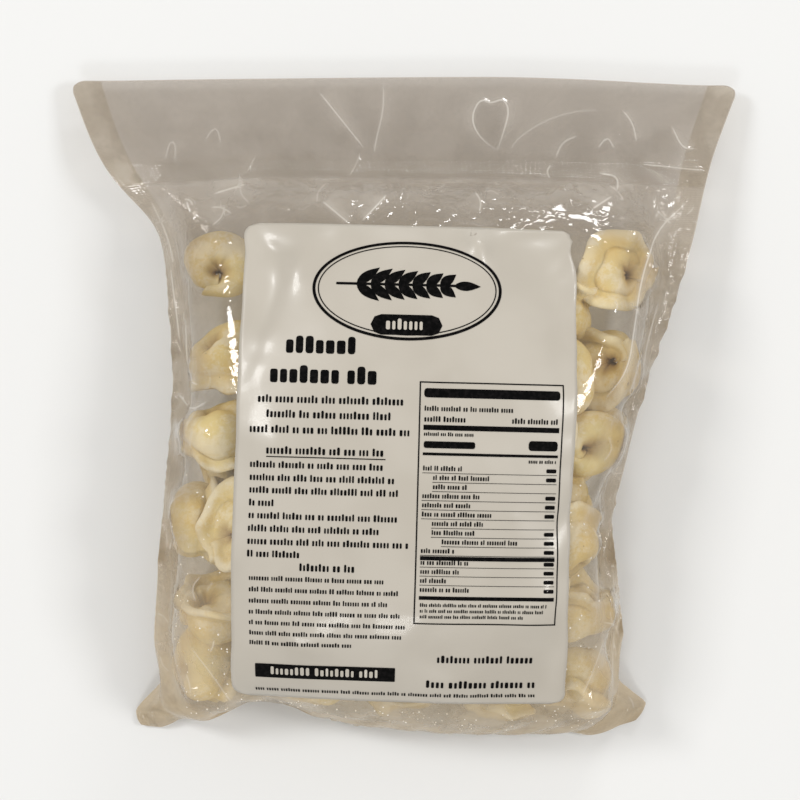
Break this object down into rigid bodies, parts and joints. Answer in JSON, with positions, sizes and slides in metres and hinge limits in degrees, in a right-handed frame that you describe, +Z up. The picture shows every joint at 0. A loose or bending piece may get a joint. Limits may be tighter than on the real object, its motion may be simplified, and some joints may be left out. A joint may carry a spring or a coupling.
{
  "type": "sealed pouch of frozen tortellini",
  "caption": "Clear heat-sealed plastic pouch filled with frozen stuffed pasta rings, with an open flap at the top and a white label stuck on its front, lying on its back.",
  "frame": {"origin": "on the table under the middle of the pouch as it lies on its back", "axes": "+Z up through the label, +Y towards the pouch's open top flap, +X to the right as the label is read"},
  "size_m": [0.2016, 0.2022, 0.0582],
  "materials": {
    "clear_film": "clear thin film, glossy, creased, slightly hazed, with embossed heat seals",
    "label_stock": "white coated label stock, satin gloss",
    "label_ink": "black thermal print in plain bars and rules",
    "pasta_dough": "pale egg-yellow frozen dough, matte, lightly floured"
  },
  "bodies": {
    "root": {"bag": "clear_film", "label": "label_stock"}
  },
  "joints": []
}
